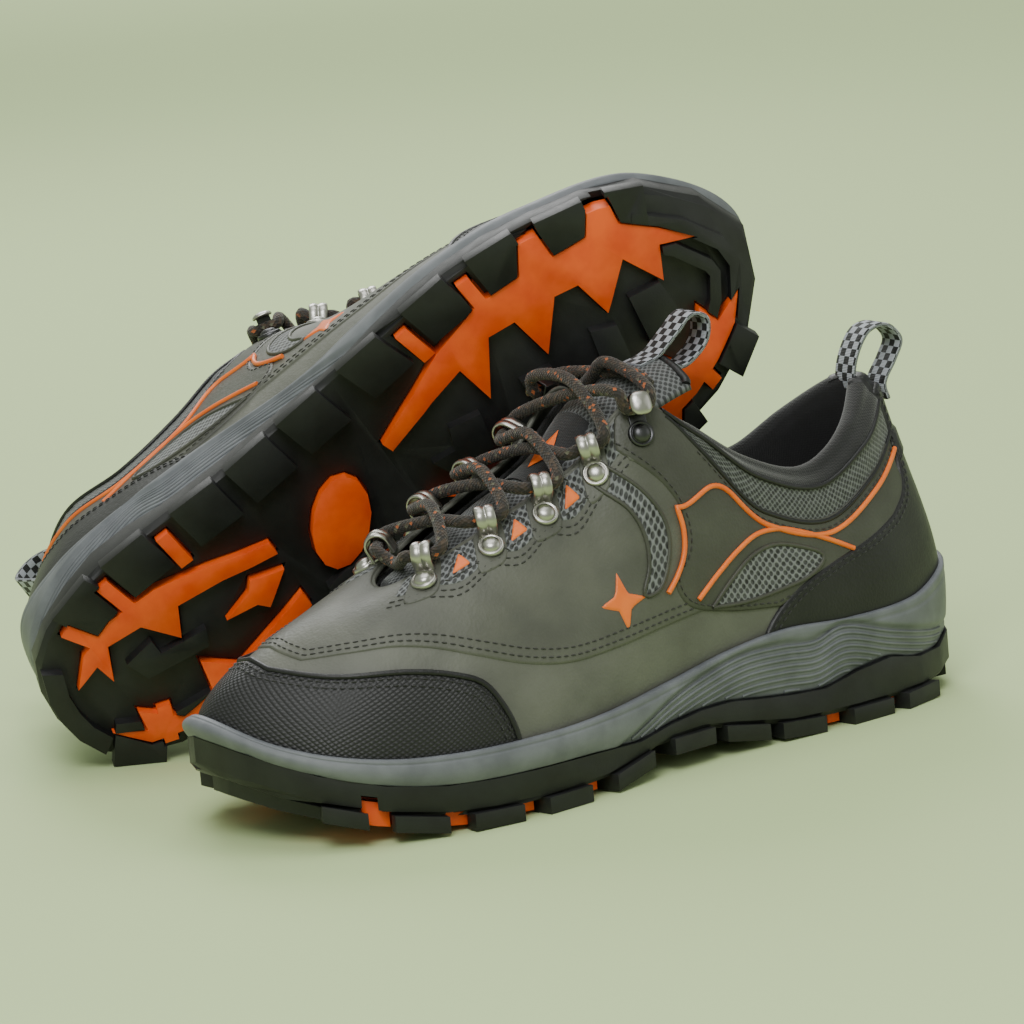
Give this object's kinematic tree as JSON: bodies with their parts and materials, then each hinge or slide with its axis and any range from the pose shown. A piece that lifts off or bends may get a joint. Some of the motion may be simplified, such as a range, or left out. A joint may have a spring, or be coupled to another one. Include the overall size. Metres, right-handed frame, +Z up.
{
  "type": "hiking boots",
  "caption": "Pair of low-cut lace-up hiking boots with lugged rubber soles, foam midsoles, padded collars, metal lace fittings and webbing pull loops; one stands, one leans on it sole out.",
  "frame": {"origin": "centre of the overall box of the pair at ground level", "axes": "+X along the standing left boot from toe to heel, -Y on its outer side, +Z up"},
  "size_m": [0.3074, 0.3046, 0.1955],
  "materials": {
    "black_rubber": "matt moulded rubber",
    "orange_rubber": "matt moulded rubber",
    "midsole_foam": "matt moulded foam",
    "shank_steel": "plain spring steel",
    "board_fibre": "fibre board",
    "insole_fabric": "knitted cover on foam",
    "synthetic_leather": "semi-matt coated synthetic leather",
    "lining_mesh": "knitted spacer mesh",
    "stiffener_sheet": "thermoplastic sheet",
    "padded_mesh": "open mesh over foam",
    "toe_guard": "fine-embossed coated synthetic",
    "quarter_leather": "semi-matt coated synthetic leather",
    "label_fabric": "woven label",
    "webbing": "two-tone woven webbing",
    "lace_cord": "round braid with flecks",
    "polished_steel": "polished plated metal"
  },
  "bodies": {
    "left_shoe": {"left_outsole": "black_rubber", "left_tread_inserts": "orange_rubber", "left_midsole": "midsole_foam", "left_shank": "shank_steel", "left_insole_board": "board_fibre", "left_upper": "synthetic_leather", "left_lining": "lining_mesh", "left_toe_puff": "stiffener_sheet", "left_heel_stiffener": "stiffener_sheet", "left_collar": "padded_mesh", "left_toe_cap": "toe_guard", "left_heel_counter": "toe_guard", "left_lateral_saddle": "quarter_leather", "left_medial_saddle": "quarter_leather", "left_lace": "lace_cord", "left_lateral_loop_1": "polished_steel", "left_lateral_loop_2": "polished_steel", "left_lateral_loop_3": "polished_steel", "left_lateral_loop_4": "polished_steel", "left_lateral_hook": "polished_steel", "left_medial_loop_1": "polished_steel", "left_medial_loop_2": "polished_steel", "left_medial_loop_3": "polished_steel", "left_medial_loop_4": "polished_steel", "left_medial_hook": "polished_steel"},
    "left_tongue": {"left_tongue": "padded_mesh", "left_tongue_label": "label_fabric", "left_tongue_loop": "webbing"},
    "left_insole": {"left_insole": "insole_fabric"},
    "left_heel_loop": {"left_heel_loop": "webbing"},
    "right_shoe": {"right_outsole": "black_rubber", "right_tread_inserts": "orange_rubber", "right_midsole": "midsole_foam", "right_shank": "shank_steel", "right_insole_board": "board_fibre", "right_upper": "synthetic_leather", "right_lining": "lining_mesh", "right_toe_puff": "stiffener_sheet", "right_heel_stiffener": "stiffener_sheet", "right_collar": "padded_mesh", "right_toe_cap": "toe_guard", "right_heel_counter": "toe_guard", "right_lateral_saddle": "quarter_leather", "right_medial_saddle": "quarter_leather", "right_lace": "lace_cord", "right_lateral_loop_1": "polished_steel", "right_lateral_loop_2": "polished_steel", "right_lateral_loop_3": "polished_steel", "right_lateral_loop_4": "polished_steel", "right_lateral_hook": "polished_steel", "right_medial_loop_1": "polished_steel", "right_medial_loop_2": "polished_steel", "right_medial_loop_3": "polished_steel", "right_medial_loop_4": "polished_steel", "right_medial_hook": "polished_steel"},
    "right_tongue": {"right_tongue": "padded_mesh", "right_tongue_label": "label_fabric", "right_tongue_loop": "webbing"},
    "right_insole": {"right_insole": "insole_fabric"},
    "right_heel_loop": {"right_heel_loop": "webbing"}
  },
  "joints": [
    {"name": "pair_apart", "type": "slide", "parent": "left_shoe", "child": "right_shoe", "axis": [0, 1, 0], "range_m": [0, 0.15]},
    {"name": "left_tongue_fold", "type": "hinge", "parent": "left_shoe", "child": "left_tongue", "pos_m": [-0.07575, -0.09392, 0.0633], "axis": [0, 1, 0], "range_deg": [0, 10], "stiffness_Nm_per_rad": 1.5},
    {"name": "left_insole_lift", "type": "hinge", "parent": "left_shoe", "child": "left_insole", "pos_m": [-0.14275, -0.09392, 0.0403], "axis": [0, -1, 0], "range_deg": [0, 6]},
    {"name": "left_heel_loop_bend", "type": "hinge", "parent": "left_shoe", "child": "left_heel_loop", "pos_m": [0.14225, -0.09392, 0.1043], "axis": [0, 1, 0], "range_deg": [0, 25], "stiffness_Nm_per_rad": 0.02},
    {"name": "right_tongue_fold", "type": "hinge", "parent": "right_shoe", "child": "right_tongue", "pos_m": [0.05568, -0.0024, 0.14527], "axis": [-0.5441, 0.0173, 0.8388], "range_deg": [0, 10], "stiffness_Nm_per_rad": 1.5},
    {"name": "right_insole_lift", "type": "hinge", "parent": "right_shoe", "child": "right_insole", "pos_m": [0.09813, -0.0514, 0.17382], "axis": [0.5441, -0.0173, -0.8388], "range_deg": [0, 6]},
    {"name": "right_heel_loop_bend", "type": "hinge", "parent": "right_shoe", "child": "right_heel_loop", "pos_m": [-0.09465, 0.12633, 0.0451], "axis": [-0.5441, 0.0173, 0.8388], "range_deg": [0, 25], "stiffness_Nm_per_rad": 0.02}
  ]
}
